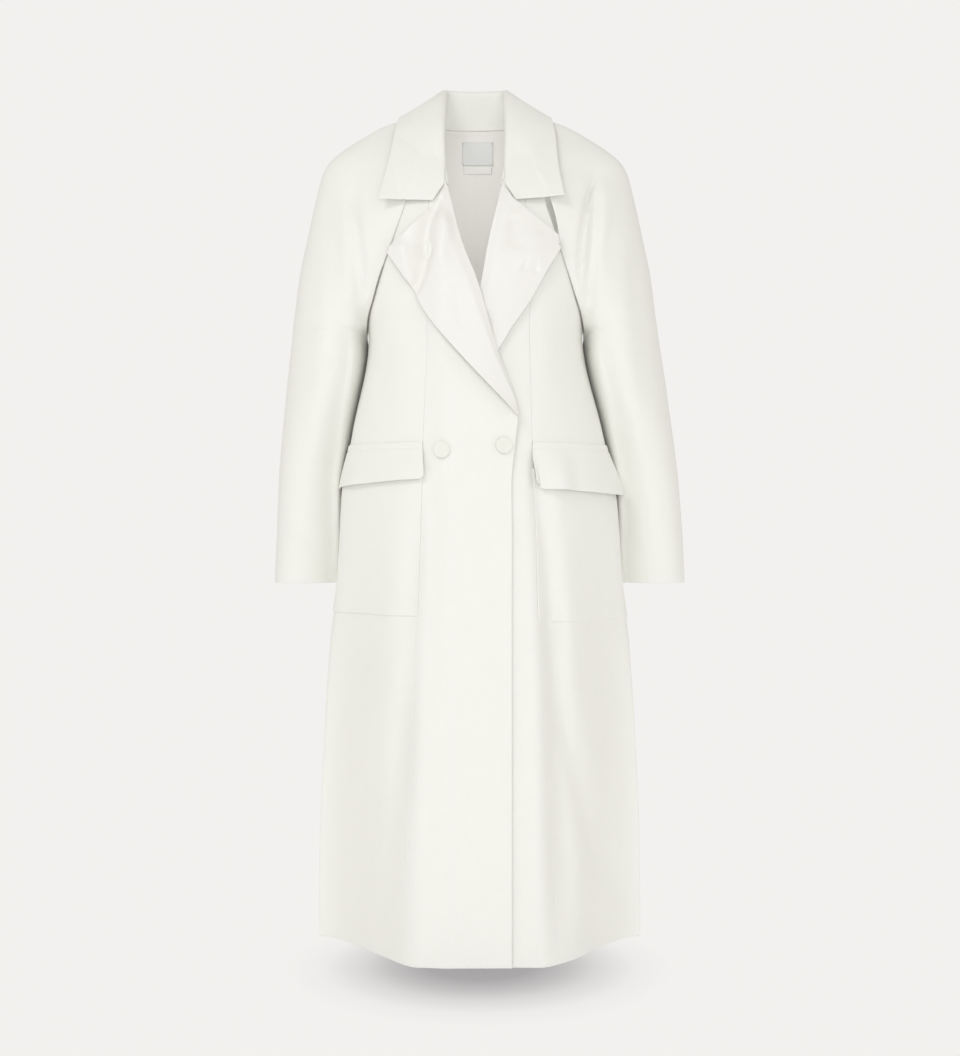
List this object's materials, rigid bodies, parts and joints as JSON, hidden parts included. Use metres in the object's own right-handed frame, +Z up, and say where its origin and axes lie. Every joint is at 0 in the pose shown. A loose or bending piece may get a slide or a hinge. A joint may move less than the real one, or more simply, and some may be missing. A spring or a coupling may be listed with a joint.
{
  "type": "cape coat",
  "caption": "Long double-breasted wool coat with cape-cut raglan sleeves, wide collar, satin peaked lapels, flapped patch pockets and flat buttons, filled out as if worn.",
  "frame": {"origin": "middle of the neck opening at the height of the back neck seam, where a wearer's shoulders carry the coat", "axes": "+Z up along the coat's length, -Y out of its front, +X towards the wearer's left"},
  "size_m": [0.627, 0.3526, 1.2891],
  "materials": {
    "wool": "brushed double-faced wool, matt",
    "satin": "soft satin",
    "button": "flat resin, half matt",
    "lining": "fine lining cloth",
    "tape": "woven tape"
  },
  "bodies": {
    "root": {"back_right": "wool", "back_left": "wool", "front_centre_right": "wool", "front_centre_left": "wool", "front_side_right": "wool", "front_side_left": "wool", "sleeve_front_right": "wool", "sleeve_back_right": "wool", "sleeve_front_left": "wool", "sleeve_back_left": "wool", "collar_stand": "wool", "collar_fall": "wool", "lapel_right": "satin", "lapel_left": "satin", "flap_right": "wool", "flap_left": "wool", "pocket_right": "wool", "pocket_left": "wool", "button_right": "button", "button_left": "button", "back_lining": "lining", "label": "tape", "size_tag": "tape"}
  },
  "joints": []
}
